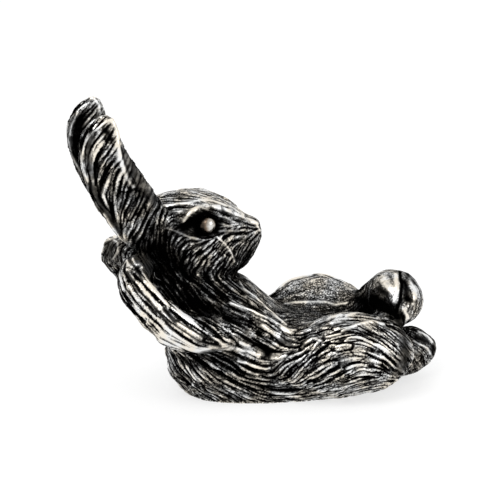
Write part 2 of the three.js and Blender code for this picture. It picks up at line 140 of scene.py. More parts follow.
# Random draws: seeds, the number of values on a lattice, and the keys that pick one for a corner
LOCK_SEED = 7
HAIR_SEED = 11
CHANCE_SEED = 13
BEND_SEED = 27
LATTICE_VALUES = 65521
LATTICE_KEYS = (73856093, 19349663, 83492791)

# The drawings below lie on a sheet of 500 by 500 in the camera's frame, x to the right and y down. Sides that
# are turned away from the camera wear the mirror image of the drawing.
SHEET = 500

# Patches of fur: place and reach on the sheet, then lock width, lock length and groove depth in mm, and tone.
# The tone is patina and also painted light and shade: darker under the head, in the ear cups and on the feet,
# lighter along the top of the arm
PATCHES = {
    "head": [
        (195, 196, 14, 0.6, 7.0, 0.24, -0.04),
        (162, 212, 12, 0.75, 5.0, 0.28, 0.1),
        (200, 226, 11, 0.7, 3.0, 0.15, -0.45),
        (240, 222, 9, 0.7, 5.0, 0.32, -0.03),
        (248, 240, 13, 0.6, 6.0, 0.28, -0.17),
        (207, 248, 12, 0.65, 1.8, 0.4, -0.1),
        (212, 272, 13, 0.55, 1.3, 0.36, -0.19),
        (163, 246, 14, 0.7, 3.0, 0.3, -0.36),
        (190, 292, 14, 0.7, 2.5, 0.3, -0.5),
    ],
    "ear": [
        (108, 128, 11, 1.0, 3.0, 0.28, -0.03),
        (110, 172, 20, 1.5, 7.0, 0.5, -0.05),
        (126, 220, 18, 1.3, 6.0, 0.45, -0.12),
        (150, 240, 12, 0.9, 4.0, 0.35, -0.34),
    ],
    "inner_ear": [
        (94, 104, 9, 1.0, 3.5, 0.25, -0.08),
        (78, 145, 18, 0.9, 8.0, 0.35, -0.46),
        (138, 182, 16, 0.6, 5.0, 0.25, -0.2),
    ],
    "arm": [
        (130, 268, 14, 1.6, 12.0, 0.3, 0.08),
        (118, 295, 10, 0.9, 8.0, 0.36, -0.12),
        (170, 318, 20, 2.0, 14.0, 0.28, 0.09),
        (240, 350, 18, 1.1, 6.0, 0.4, 0.06),
        (213, 322, 10, 0.9, 4.0, 0.45, -0.16),
    ],
    "inner_arm": [
        (112, 250, 20, 0.9, 5.0, 0.3, -0.26),
    ],
    "torso": [
        (255, 302, 18, 0.75, 14.0, 0.46, -0.24),
        (200, 302, 16, 0.8, 5.0, 0.35, -0.38),
        (229, 288, 9, 0.8, 5.0, 0.35, -0.4),
        (225, 322, 14, 1.0, 6.0, 0.42, -0.21),
        (265, 345, 16, 1.2, 4.0, 0.5, -0.02),
        (288, 350, 12, 1.2, 4.0, 0.5, 0.04),
        (195, 372, 22, 1.1, 9.0, 0.46, -0.19),
        (270, 386, 22, 1.0, 7.0, 0.46, -0.2),
        (302, 314, 14, 0.8, 5.0, 0.08, -0.22),
    ],
    "thigh": [
        (332, 318, 14, 1.2, 6.0, 0.5, 0.06),
        (348, 345, 20, 1.05, 5.5, 0.52, 0.0),
        (300, 366, 18, 0.9, 6.0, 0.46, -0.1),
        (395, 352, 14, 0.8, 5.0, 0.36, -0.08),
        (340, 386, 18, 0.95, 5.5, 0.46, -0.06),
    ],
    "inner_thigh": [
        (315, 290, 30, 0.8, 6.0, 0.06, -0.08),
    ],
    "crossed_foot": [
        (395, 290, 30, 1.6, 4.0, 0.1, -0.21),
        (360, 298, 14, 1.0, 5.0, 0.12, -0.25),
    ],
    "lying_foot": [
        (420, 345, 20, 0.8, 6.0, 0.14, -0.31),
    ],
}

# Lines of flow on the sheet
FLOW = {
    "head": [
        [(256, 223), (228, 206), (190, 194), (158, 197)],
        [(250, 222), (225, 212), (196, 206), (165, 207)],
        [(200, 236), (180, 222), (160, 215)],
        [(256, 228), (240, 232), (222, 240), (200, 246), (185, 262)],
        [(220, 245), (205, 258), (192, 272)],
        [(258, 236), (248, 252), (236, 270)],
        [(238, 260), (225, 275), (205, 288)],
        [(165, 230), (165, 250), (175, 275)],
        [(150, 215), (148, 235), (152, 255)],
    ],
    "ear": [
        [(124, 150), (112, 172), (104, 196)],
        [(136, 190), (126, 212), (121, 232)],
        [(142, 203), (134, 222), (130, 240)],
        [(113, 128), (98, 142), (88, 165)],
        [(86, 160), (94, 195), (112, 222)],
        [(112, 150), (102, 168), (95, 186)],
    ],
    "inner_ear": [
        [(95, 103), (80, 116), (71, 138), (74, 160), (88, 186)],
        [(100, 115), (88, 128), (82, 150)],
        [(120, 145), (134, 166), (152, 190)],
    ],
    "arm": [
        [(135, 264), (152, 292), (173, 317), (194, 329), (219, 343), (250, 351), (264, 357)],
        [(118, 285), (138, 310), (159, 334), (194, 351)],
        [(122, 270), (140, 300), (160, 325), (200, 345), (240, 352)],
    ],
    "inner_arm": [
        [(124, 236), (110, 246), (104, 262), (114, 276)],
        [(122, 244), (116, 256), (122, 270)],
    ],
    "torso": [
        [(163, 345), (177, 369), (200, 389), (222, 401)],
        [(173, 351), (197, 366), (217, 383), (243, 400)],
        [(197, 357), (219, 373), (250, 389), (278, 394), (320, 390)],
        [(222, 351), (243, 362), (264, 369), (292, 368)],
        [(240, 385), (280, 398), (330, 397)],
        [(239, 282), (257, 296), (278, 312)],
        [(229, 303), (250, 312), (271, 324), (292, 334)],
        [(215, 312), (236, 326), (264, 340), (285, 348)],
        [(205, 300), (220, 318), (245, 333)],
        [(280, 316), (310, 314), (345, 308)],
    ],
    "thigh": [
        [(305, 326), (328, 314), (344, 309), (376, 308)],
        [(305, 342), (328, 332), (357, 327), (381, 335), (393, 347)],
        [(294, 374), (320, 354), (357, 340), (381, 347), (397, 361)],
        [(301, 382), (328, 366), (357, 355), (381, 359), (399, 371)],
        [(308, 389), (333, 378), (363, 366), (387, 375)],
        [(272, 395), (308, 393), (345, 388), (381, 382)],
    ],
    "inner_thigh": [
        [(272, 300), (296, 286), (318, 278), (340, 283), (357, 292)],
        [(282, 304), (308, 302), (330, 303), (350, 302)],
    ],
    "crossed_foot": [
        [(395, 271), (399, 286), (395, 305)],
        [(380, 278), (378, 295), (388, 308)],
        [(410, 280), (418, 298), (408, 316)],
        [(352, 304), (365, 292), (378, 282)],
    ],
    "lying_foot": [
        [(405, 328), (418, 332), (432, 347)],
        [(411, 342), (424, 350), (430, 359)],
        [(405, 350), (415, 362), (418, 372)],
    ],
}

# Single marks: kind of casting, half width on the sheet, rise in mm, tone, and the line on the sheet. Light
# tones paint highlights on crests, knuckles and edges and dark ones paint shade in hollows and under parts,
# besides the dark of carved cuts
MARKS = [
    ("head", 2.0, 0.4, 0.4,
     [(183, 222), (189, 214), (197, 208), (206, 206), (218, 207), (228, 211), (240, 217)]),
    ("head", 1.8, 0.2, 0.35, [(236, 215), (249, 220), (257, 223)]),
    ("head", 1.3, 0.2, 0.28,
     [(154, 207), (171, 205), (188, 203), (202, 200), (216, 202), (230, 207), (243, 215)]),
    ("head", 1.1, -0.2, -0.45, [(209, 205), (213, 210)]),
    ("head", 1.1, -0.2, -0.45, [(221, 208), (225, 213)]),
    ("head", 1.1, -0.2, -0.4, [(232, 212), (236, 217)]),
    ("head", 1.2, 0.2, 0.14, [(219, 216), (226, 218), (234, 222)]),
    ("head", 1.2, 0.15, 0.1, [(218, 223), (224, 225), (233, 227)]),
    ("head", 1.2, 0.15, 0.04, [(219, 231), (228, 231), (238, 231)]),
    ("head", 1.2, 0.15, 0.06, [(158, 213), (170, 212), (182, 211)]),
    ("head", 1.2, 0.2, 0.27, [(160, 226), (170, 229), (180, 233), (189, 237), (198, 239)]),
    ("head", 1.2, 0.2, 0.3, [(217, 237), (223, 242), (229, 249), (232, 255), (234, 262)]),
    ("head", 1.2, 0.1, 0.35, [(256, 223), (260, 231)]),
    # Painted shade and patina in the eye hollow under the brow, over a carved dip
    ("head", 4.6, -0.3, -0.75, [(184, 227), (196, 220), (207, 217), (212, 226), (200, 232)]),
    ("ear", 2.8, 0.3, 0.28, [(112, 120), (117, 132), (118, 146), (121, 160)]),
    ("ear", 2.4, 0.2, 0.2, [(122, 164), (126, 176), (133, 187)]),
    ("ear", 6.0, -0.15, -0.32, [(126, 150), (133, 166), (139, 179), (147, 190), (154, 198)]),
    ("ear", 1.3, -0.2, -0.3, [(121, 146), (125, 163), (130, 176), (138, 188), (149, 201)]),
    ("ear", 1.2, 0.25, 0.14, [(110, 120), (102, 125), (92, 133), (85, 144), (82, 156), (84, 170), (88, 182)]),
    # Painted highlight along the ear's back edge, over a raised line
    ("ear", 1.2, 0.2, 0.45, [(104, 214), (113, 228), (122, 240), (128, 250)]),
    ("ear", 2.6, -0.1, -0.34, [(92, 138), (88, 150), (89, 164), (93, 178)]),
    ("ear", 3.0, -0.1, -0.4, [(90, 184), (99, 202), (110, 219), (119, 231)]),
    # Painted shade and patina in the hollow under the ear's tip, over small dips
    ("ear", 2.6, -0.25, -0.7, [(105, 130), (108, 133)]),
    ("ear", 2.2, -0.2, -0.7, [(110, 138), (112, 140)]),
    ("inner_ear", 1.3, 0.2, 0.45, [(78, 112), (72, 124), (69, 140), (72, 155), (80, 170)]),
    # Painted shade and patina in the ear's cup, over a shallow dip
    ("inner_ear", 5.0, -0.25, -0.45, [(84, 128), (79, 140), (78, 155)]),
    ("inner_ear", 2.0, 0.2, 0.24, [(93, 98), (98, 104), (99, 111)]),
    ("inner_ear", 1.6, 0.2, 0.5, [(83, 127), (86, 123), (89, 119)]),
    # Painted highlights on the knuckles, over raised bumps
    ("arm", 1.7, 0.25, 0.7, [(128, 261), (131, 266)]),
    ("arm", 1.7, 0.25, 0.75, [(134, 259), (136, 264)]),
    ("arm", 1.7, 0.25, 0.65, [(139, 262), (142, 267)]),
    ("inner_arm", 1.4, 0.1, 0.25, [(111, 238), (118, 243), (118, 252), (113, 259)]),
    ("inner_arm", 4.0, -0.1, -0.2, [(110, 246), (109, 254)]),
    ("arm", 1.1, -0.35, -0.7, [(127, 271), (139, 290), (151, 303), (163, 317), (170, 327)]),
    ("arm", 1.0, -0.3, -0.6, [(135, 265), (143, 281)]),
    ("arm", 2.2, -0.35, -0.7, [(165, 309), (175, 321)]),
    ("arm", 1.0, -0.3, -0.6, [(175, 325), (200, 342), (221, 347)]),
    ("arm", 0.9, -0.3, -0.6, [(177, 320), (200, 334), (214, 340)]),
    ("arm", 2.4, 0.15, 0.14, [(160, 334), (180, 346), (197, 351), (224, 346), (245, 351), (262, 351)]),
    ("torso", 1.3, 0.2, 0.4, [(239, 282), (244, 289), (256, 298), (270, 311), (286, 325)]),
    ("torso", 1.4, 0.2, 0.35, [(230, 303), (252, 311), (272, 320), (288, 331)]),
    ("torso", 1.2, 0.2, 0.3, [(247, 283), (262, 294), (276, 303)]),
    ("torso", 1.8, 0.3, 0.46, [(237, 349), (247, 351), (259, 356)]),
    ("torso", 1.4, 0.25, 0.4, [(240, 343), (250, 346)]),
    ("torso", 2.8, -0.5, -0.8, [(266, 350), (268, 354)]),
    ("torso", 1.8, 0.25, 0.46, [(272, 358), (279, 358), (283, 355)]),
    ("thigh", 1.8, 0.25, 0.46, [(272, 358), (279, 358), (286, 355)]),
    ("torso", 3.0, -0.2, -0.35, [(281, 341), (291, 343)]),
    ("torso", 2.0, 0.25, 0.28, [(281, 328), (290, 331), (299, 330)]),
    ("torso", 1.7, 0.25, 0.24, [(262, 325), (271, 331), (280, 335)]),
    ("torso", 1.4, 0.25, 0.4, [(245, 362), (255, 367), (266, 369), (274, 367)]),
    ("torso", 1.3, 0.2, 0.36, [(238, 361), (246, 363)]),
    # Painted shade between the paw and the cheek, over a shallow dip
    ("arm", 4.0, -0.1, -0.35, [(147, 262), (152, 274)]),
    ("inner_thigh", 1.4, 0.2, 0.45, [(285, 304), (304, 302), (325, 302), (335, 305), (354, 302)]),
    ("torso", 1.4, 0.2, 0.45, [(280, 305), (292, 303), (304, 302), (325, 302), (335, 305), (354, 302)]),
    ("thigh", 3.0, 0.25, 0.42, [(309, 322), (323, 317), (340, 314)]),
    ("thigh", 1.0, -0.3, -0.45, [(316, 325), (334, 325), (345, 321)]),
    ("thigh", 1.6, 0.25, 0.32, [(346, 316), (358, 313), (371, 311)]),
    ("thigh", 1.6, 0.25, 0.18, [(342, 331), (356, 325), (372, 321), (384, 324)]),
    ("thigh", 1.8, 0.2, 0.16, [(305, 343), (312, 338), (321, 341)]),
    ("thigh", 1.6, 0.2, 0.18, [(326, 337), (340, 334)]),
    # Painted shade below the crossed foot, along the end of the haunch, over a shallow dip
    ("thigh", 4.0, -0.1, -0.38, [(395, 312), (402, 325), (405, 340), (405, 358), (401, 371)]),
    # Crossed foot: painted highlights and painted shade on a polished surface, around a carved middle groove
    ("crossed_foot", 5.0, 0.0, 0.25, [(384, 279), (390, 290)]),
    ("crossed_foot", 2.2, 0.1, 0.45, [(396, 275), (397, 290), (394, 302)]),
    ("crossed_foot", 1.4, -0.5, -0.9, [(400, 272), (402, 286), (400, 300), (396, 312)]),
    ("crossed_foot", 2.6, -0.2, -0.6, [(405, 281), (408, 298)]),
    ("crossed_foot", 2.6, -0.1, -0.45, [(408, 274), (414, 283)]),
    ("crossed_foot", 2.4, -0.1, -0.4, [(406, 299), (415, 302)]),
    ("crossed_foot", 2.2, 0.1, 0.45, [(410, 279), (415, 291), (414, 303)]),
    ("crossed_foot", 3.0, 0.0, -0.45, [(379, 289), (387, 294)]),
    ("crossed_foot", 6.0, 0.0, -0.7, [(374, 300), (384, 308), (396, 319)]),
    ("crossed_foot", 1.8, 0.1, 0.45, [(404, 309), (408, 318)]),
    ("lying_foot", 1.2, 0.2, 0.4, [(418, 332), (427, 336), (432, 342)]),
    ("lying_foot", 2.0, -0.2, -0.4, [(416, 337), (426, 341)]),
    ("lying_foot", 1.2, 0.2, 0.4, [(413, 341), (418, 344), (427, 348), (430, 354)]),
    ("lying_foot", 1.2, 0.1, 0.28, [(410, 345), (413, 350), (419, 354)]),
    # Painted shade along the outer edge of the lying foot
    ("lying_foot", 1.6, 0.0, -0.4, [(433, 346), (433, 354)]),
]

# Small moves of the form: place and reach on the sheet, then millimetres forwards and upwards
NUDGES = [
    (360, 400, 20, 0.0, 0.9),
    (180, 391, 15, 0.6, 0.2),
    (135, 315, 14, 0.7, 0.0),
    (150, 333, 9, 0.4, 0.2),
    (163, 351, 7, -0.6, 0.0),
    (206, 190, 16, 0.0, -0.35),
    (257, 224, 7, 0.3, 0.4),
    (418, 285, 14, -0.35, 0.0),
    (428, 331, 9, -0.2, -0.5),
]

# Marks: how far and how much wider than the mark the fur gives way to it, and where it fades out edge on
MARK_COVER = 0.85
MARK_MARGIN = 1.6
MARK_FACING = 0.25

# Camera: it looks along +Y, turned and raised by these angles, at a point in the middle of the figurine
CAMERA_AZIMUTH = -12.0
CAMERA_ELEVATION = 16.0
CAMERA_DISTANCE = 420.0
CAMERA_TARGET = (-8.4, 0.0, 29.6)
CAMERA_LENS = 147.2
SENSOR_WIDTH = 36
CLIP_START = 0.01

# Eyes: rings and sides of a bead, the direction from which painted light falls on the left one, the edges
# over which that painted light and the side away from the head come up, so that painted shade darkens the
# bead towards the socket, and stains and colours from the rim inwards
BEAD_RINGS = 40
BEAD_SIDES = 64
EYE_LIGHT = (0.85, 0.5, 0.15)
LIT_EDGE = (0.0, 0.65)
SOCKET_SHADE_EDGE = (0.0, 0.95)
BEAD_TONE = 0.72
STAIN_TONE = 0.55
STAIN_NOISE = (900, 3.0)
BEAD_ROUGHNESS = 0.22
BEAD_COLOURS = [
    (0.22, (0.008, 0.008, 0.008, 1)), (0.58, (0.17, 0.125, 0.09, 1)),
    (0.88, (0.45, 0.42, 0.38, 1)), (1.0, (0.66, 0.65, 0.63, 1)),
]

# Finish: tone of a rubbed ridge, what carving takes from it on the whole, and how much darker grooves, slopes
# and fine cuts are; edges are ridge heights
BASE_TONE = 0.72
CARVED_TONE = 0.33
GROOVE_TONE = 0.50
GROOVE_EDGE = (0.06, 0.20)
SLOPE_TONE = 0.30
SLOPE_EDGE = (0.0, 1.0)
EDGE_WANDER = 0.25
CUT_TONE = 0.58
CUT_EDGE = (0.14, 0.32)
STRAND_TONE = 0.80

# Tone differences between locks, between swells and dips, and between open and covered places; the last is
# painted shade in crevices, under the head and between parts, together with patina there
LOCK_TONE = 0.12
SWELL_TONE = 0.16
SWELL_EDGE = (-0.15, 0.15)
SHADE_AND_PATINA_TONE = 0.7
OPEN_SKY = 0.8

# Noises of the finish: tones, how much less grain carved places have, and each one's scale and detail
GRAIN_TONE = 2.40
GRAIN_LOSS = 1.65
GRAIN_NOISE = (3200, 2.0)
BLOTCH_TONE = 0.5
BLOTCH_NOISE = (700, 1.0)
TARNISH_NOISE = (260, 3.0)
TARNISH_EDGE = (-0.12, 0.12)

# Greys from the bottom of a groove to a rubbed ridge, tints of tarnish, and the tones over which the metal
# comes bare and its roughness falls
GREYS = [(0.10, 0.0005), (0.30, 0.010), (0.50, 0.05), (0.70, 0.20), (0.86, 0.52), (1.0, 0.88)]
WARM_TARNISH = (1.0, 0.925, 0.80, 1)
COOL_TARNISH = (0.985, 0.99, 0.985, 1)
BARE_METAL = (0.3, 0.7)
GLOSS_TONES = (0.2, 0.9)
GLOSS_ROUGHNESS = (0.6, 0.3)

# Stage: the floor, the world's strength as light and as seen, and lamps: name, place, size in metres, power
WHITE = (1, 1, 1, 1)
FLOOR_HALF = 3000
FLOOR_TONE = (0.35, 0.35, 0.35, 1)
FLOOR_ROUGHNESS = 0.9
FLOOR_GLOW = 0.68
WORLD_STRENGTH = (0.85, 1.0)
LAMPS = [
    ("key", (-0.35, -0.35, 0.6), 0.35, 2.0),
    ("fill", (0.5, -0.4, 0.35), 0.4, 0.8),
]
LAMP_TARGET = (0, 0, 0.02)


def smoothstep(low, high, value):
    share = np.clip((value - low) / (high - low), 0, 1)
    return share * share * (3 - 2 * share)


def unit(vectors):
    return vectors / np.maximum(np.linalg.norm(vectors, axis=1, keepdims=True), 1e-9)


def along(vectors, normals):
    """The part of each vector that lies along the surface, at full length."""
    return unit(vectors - (vectors * normals).sum(axis=1, keepdims=True) * normals)


def ranked(values, groups):
    """The values spread evenly from 0 to 1 in their own order, each group by itself."""
    order = np.empty(len(values))
    for group in np.unique(groups):
        chosen = np.flatnonzero(groups == group)
        order[chosen[np.argsort(values[chosen])]] = np.arange(len(chosen)) / len(chosen)
    return order


# The camera's sheet

def camera_axes():
    """The camera's right, up and backward directions."""
    azimuth = np.radians(CAMERA_AZIMUTH)
    elevation = np.radians(CAMERA_ELEVATION)
    level = np.cos(elevation)
    back = np.array([np.sin(azimuth) * level, -np.cos(azimuth) * level, np.sin(elevation)])
    right = np.array([np.cos(azimuth), np.sin(azimuth), 0])
    return right, np.cross(back, right), back


def camera_place():
    return np.array(CAMERA_TARGET) + CAMERA_DISTANCE * camera_axes()[2]


def folded(vectors, normals):
    """Vectors of the sides that are turned away from the camera, mirrored to the side that it sees."""
    turned = np.where(normals[:, 1] > 0, -1, 1)
    return np.stack([vectors[:, 0], turned * vectors[:, 1], vectors[:, 2]], axis=1)


def on_sheet(points, normals):
    """Where the points lie on the camera's sheet."""
    right, up, back = camera_axes()
    sight = folded(points, normals) - camera_place()
    scale = CAMERA_LENS / SENSOR_WIDTH * SHEET / -(sight @ back)
    return np.stack([SHEET / 2 + scale * (sight @ right), SHEET / 2 - scale * (sight @ up)], axis=1)


def off_sheet(directions, normals, least=0.3):
    """Directions on the sheet as directions along the surface."""
    right, up, back = camera_axes()
    flat = directions[:, :1] * right - directions[:, 1:] * up
    seen = folded(normals, normals)
    facing = seen @ back
    facing = np.where(facing < 0, -1, 1) * np.maximum(np.abs(facing), least)
    flat = flat - ((flat * seen).sum(axis=1) / facing)[:, None] * back
    return along(folded(flat, normals), normals)


def gap_to_line(places, line):
    """How far each place on the sheet is from a line, and the direction of the nearest part of the line."""
    best = np.full(len(places), FAR)
    heading = np.zeros((len(places), 2))
    for start, end in zip(line, line[1:]):
        step = np.subtract(end, start).astype(float)
        share = np.clip((places - start) @ step / (step @ step), 0, 1)
        gap = np.linalg.norm(places - start - share[:, None] * step, axis=1)
        nearer = gap < best
        best = np.where(nearer, gap, best)
        heading[nearer] = step / np.linalg.norm(step)
    return best, heading


# Meshes as arrays

def welded(node):
    """A casting's points in mm with doubles joined, and its triangles."""
    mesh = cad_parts[node].data
    mesh.calc_loop_triangles()
    points = np.empty(len(mesh.vertices) * 3)
    mesh.vertices.foreach_get("co", points)
    triangles = np.empty(len(mesh.loop_triangles) * 3, dtype=np.int32)
    mesh.loop_triangles.foreach_get("vertices", triangles)
    points = points.reshape(-1, 3) / MM
    _, first, joined = np.unique(points.round(4), axis=0, return_index=True, return_inverse=True)
    triangles = joined.reshape(-1)[triangles].reshape(-1, 3)
    kept = (triangles != np.roll(triangles, 1, axis=1)).all(axis=1)
    return points[first], triangles[kept]


def normals_of(points, faces):
    """Point normals weighted by the area of the faces around them. Faces have 3 or 4 corners."""
    first, second, third, last = (points[faces[:, corner]] for corner in (0, 1, 2, -1))
    if faces.shape[1] == 3:
        cross = np.cross(second - first, third - first)
    else:
        cross = np.cross(third - first, last - second)
    total = np.zeros_like(points)
    for axis in range(3):
        for corner in range(faces.shape[1]):
            total[:, axis] += np.bincount(faces[:, corner], cross[:, axis], minlength=len(points))
    return unit(total)


def remeshed(points, faces, voxel):
    """The skin of all the solids together, in even quads."""
    mesh = bpy.data.meshes.new("blank")
    mesh.from_pydata(points, [], faces)
    blank = bpy.data.objects.new("blank", mesh)
    bpy.context.scene.collection.objects.link(blank)
    remesh = blank.modifiers.new("remesh", "REMESH")
    remesh.mode = "VOXEL"
    remesh.voxel_size = voxel
    skin = blank.evaluated_get(bpy.context.evaluated_depsgraph_get()).to_mesh()
    skin_points = np.empty(len(skin.vertices) * 3)
    skin.vertices.foreach_get("co", skin_points)
    quads = np.empty(len(skin.loops), dtype=np.int32)
    skin.loops.foreach_get("vertex_index", quads)
    bpy.data.objects.remove(blank)
    bpy.data.meshes.remove(mesh)
    return skin_points.reshape(-1, 3), quads.reshape(-1, 4)


def outermost(points, quads):
    """Leaves out the small closed shells that sealed hollows between the castings give."""
    shell = np.arange(len(points))
    while True:
        lowest = shell[quads].min(axis=1)
        new = shell.copy()
        for corner in range(4):
            np.minimum.at(new, quads[:, corner], lowest)
        new = new[new]
        if (new == shell).all():
            break
        shell = new
    kept = shell == np.bincount(shell).argmax()
    place = np.cumsum(kept) - 1
    return points[kept], place[quads[kept[quads[:, 0]]]]


def neighbours(quads, count, most=8):
    """Columns of neighbours: each holds, for every point, one of the points that share a quad with it."""
    pairs = [(quads[:, a].astype(np.int64), quads[:, b]) for a, b in itertools.permutations(range(4), 2)]
    keys = np.unique(np.concatenate([start * count + end for start, end in pairs]))
    start = keys // count
    end = keys % count
    slot = np.arange(len(start)) - np.searchsorted(start, np.arange(count))[start]
    columns = np.repeat(np.arange(count)[None], most, axis=0)
    kept = slot < most
    columns[slot[kept], start[kept]] = end[kept]
    return columns


def averaged(values, columns):
    total = values[columns[0]]
    for column in columns[1:]:
        total = total + values[column]
    return total / len(columns)


def spread(values, columns, rounds):
    """Values evened out over neighbouring points."""
    for _ in range(rounds):
        values = averaged(values, columns)
    return values


def polished(points, columns, rounds):
    """Points smoothed without shrinking: each round pulls in and then pushes back a little more."""
    for _ in range(rounds):
        points = points + PULL * (averaged(points, columns) - points)
        points = points - PUSH * (averaged(points, columns) - points)
    return points


def filleted(points, quads, columns, amount, rounds):
    """Creases filled by moving the points of hollow places outwards."""
    for _ in range(rounds):
        normals = normals_of(points, quads)
        pull = ((averaged(points, columns) - points) * normals).sum(axis=1)
        points = points + (FILLET_STEP * amount * np.maximum(pull, 0))[:, None] * normals
    return points


def nearest_index(known, wanted):
    """For each wanted point, the index of the known point nearest to it."""
    tree = KDTree(len(known))
    for index, point in enumerate(known.tolist()):
        tree.insert(point, index)
    tree.balance()
    return np.array([tree.find(point)[1] for point in wanted.tolist()])


# Form: the castings as one smooth body

def castings(growth):
    """All castings' points and triangles together, and which casting each triangle belongs to."""
    all_points = []
    all_triangles = []
    owner = []
    count = 0
    for index, node in enumerate(SKIN_NODES):
        points, triangles = welded(node)
        all_points.append(points + growth * normals_of(points, triangles))
        all_triangles.append(triangles + count)
        owner.append(np.full(len(triangles), index))
        count += len(points)
    return np.concatenate(all_points), np.concatenate(all_triangles), np.concatenate(owner)


def owners(points):
    """For each point, the index of the casting whose surface lies nearest."""
    cast_points, triangles, owner = castings(0)
    tree = BVHTree.FromPolygons(cast_points.tolist(), triangles.tolist())
    return owner[[tree.find_nearest(point)[2] for point in points.tolist()]]


def settled(owner, columns, rounds):
    """Owners with ragged borders and islands evened out."""
    shares = [spread((owner == index).astype(float), columns, rounds) for index in range(len(SKIN_NODES))]
    return np.argmax(shares, axis=0)


def kinds_of(points, normals, owner):
    """The kind of fur at each point."""
    kinds = np.array(list(SKIN_NODES.values()), dtype=object)[owner]
    inner = points[:, 1] * normals[:, 1] < 0
    for kind, inner_kind in INNER.items():
        kinds[inner & (kinds == kind)] = inner_kind
    return kinds


def openness(points, coarse, coarse_quads, rays=40, reach=22.0, lift=0.3):
    """How much of the sky each point sees past the rest of the figurine: 0 in a crevice, 1 in the open."""
    normals = normals_of(coarse, coarse_quads)
    tree = BVHTree.FromPolygons(coarse.tolist(), coarse_quads.tolist())
    turn = np.pi * (3 - np.sqrt(5)) * np.arange(rays)
    height = np.sqrt((np.arange(rays) + 0.5) / rays)
    flat = np.sqrt(1 - height ** 2)
    fan = np.stack([flat * np.cos(turn), flat * np.sin(turn), height], axis=1)
    sky = np.empty(len(coarse))
    for index, (point, normal) in enumerate(zip(coarse, normals)):
        turned = fan @ np.array(Vector(normal).to_track_quat("Z", "Y").to_matrix()).T
        start = Vector(point + lift * normal)
        sky[index] = np.mean([tree.ray_cast(start, ray, reach)[0] is None for ray in turned.tolist()])
    return sky[nearest_index(coarse, points)]


def lowered(points, drop, height):
    """Points near the table moved down, so that the edge of the underside stays crisp."""
    low = points.copy()
    low[:, 2] = np.maximum(points[:, 2] - drop * (1 - smoothstep(0, height, points[:, 2])), 0)
    return low


def nudged(points):
    """The form with its small moves, the same on both sides of the middle plane."""
    near_side = points * [1, 0, 1] - np.abs(points) * [0, 1, 0]
    places = on_sheet(near_side, np.zeros_like(points))
    moved = points.copy()
    for x, y, reach, forwards, upwards in NUDGES:
        share = np.exp(-(np.linalg.norm(places - (x, y), axis=1) / reach) ** 2)
        moved += share[:, None] * np.array([forwards, 0, upwards])
    return moved


def make_form():
    """The fused body with filled creases, and what is known at each of its points."""
    cast_points, triangles, _ = castings(SEAM_GROWTH)
    points, quads = outermost(*remeshed(cast_points, triangles, FORM_VOXEL))
    points = points - SEAM_GROWTH * normals_of(points, quads)
    columns = neighbours(quads, len(points))
    owner = settled(owners(points), columns, OWNER_ROUNDS)
    points = polished(points, columns, FORM_SMOOTHING)
    soft = np.array([kind == SOFT_KIND for kind in SKIN_NODES.values()])[owner]
    softness = spread(soft.astype(float), columns, BORDER_ROUNDS)
    points = points + softness[:, None] * (spread(points, columns, SOFT_ROUNDS) - points)
    fillet = np.array([FILLET[kind] for kind in SKIN_NODES.values()])[owner]
    fillet = fillet * (1 - smoothstep(FILLET_TOP - FILLET_FADE, FILLET_TOP, points[:, 2]))
    points = filleted(points, quads, columns, spread(fillet, columns, BORDER_ROUNDS), FILLET_ROUNDS)
    points = nudged(lowered(points, FORM_DROP, BASE_HEIGHT))
    normals = normals_of(points, quads)
    places = on_sheet(points, normals)
    kinds = kinds_of(points, normals, owner)
    known = {
        "style": patched(places, kinds),
        "flow": flow_field(places, normals, kinds),
        "sky": openness(points, *remeshed(points, quads, SHADE_VOXEL)),
        "swell": -((spread(points, columns, SWELL_ROUNDS) - points) * normals).sum(axis=1),
    }
    for key, rounds in FORM_ROUNDS.items():
        known[key] = spread(known[key], columns, rounds)
    known["flow"] = along(known["flow"], normals)
    known["owner"] = owner
    return points, quads, known


# Fur

def patched(places, kinds, core=0.2):
    """Lock width, lock length, groove depth and tone at each place, blended from the patches; the tone holds
    painted light and shade along with patina.
    """
    style = np.zeros((len(places), 4))
    for kind, patches in PATCHES.items():
        chosen = np.flatnonzero(kinds == kind)
        table = np.array(patches)
        gap = np.linalg.norm(places[chosen][:, None] - table[None, :, :2], axis=2) / table[:, 2]
        weight = 1 / (gap ** 2 + core) ** 2
        style[chosen] = weight @ table[:, 3:] / weight.sum(axis=1, keepdims=True)
    return style


def flow_field(places, normals, kinds, core=20, fall=1.5):
    """The direction in which the fur lies, along the surface."""
    flow = np.zeros((len(places), 2))
    for kind, lines in FLOW.items():
        chosen = np.flatnonzero(kinds == kind)
        for line in lines:
            gap, heading = gap_to_line(places[chosen], line)
            flow[chosen] += heading / (gap[:, None] ** 2 + core) ** fall
    return off_sheet(unit(flow), normals)


def lattice_noise(points, cell, seed):
    """Smooth noise from random values on a lattice of the given cell size."""
    values = np.random.default_rng(seed).random(LATTICE_VALUES)
    grid = points / np.reshape(cell, (-1, 1))
    base = np.floor(grid).astype(np.int64)
    part = grid - base
    part = part * part * (3 - 2 * part)
    total = np.zeros(len(points))
    for corner in itertools.product((0, 1), repeat=3):
        key = (base + corner) @ np.array(LATTICE_KEYS)
        weight = np.where(np.array(corner) == 1, part, 1 - part).prod(axis=1)
        total += weight * values[key % len(values)]
    return total


def waver(points, cell, seed):
    """A smooth random shift at each point, of up to half a unit along each axis."""
    return np.stack([lattice_noise(points, cell, seed + axis) for axis in range(3)], axis=1) - 0.5


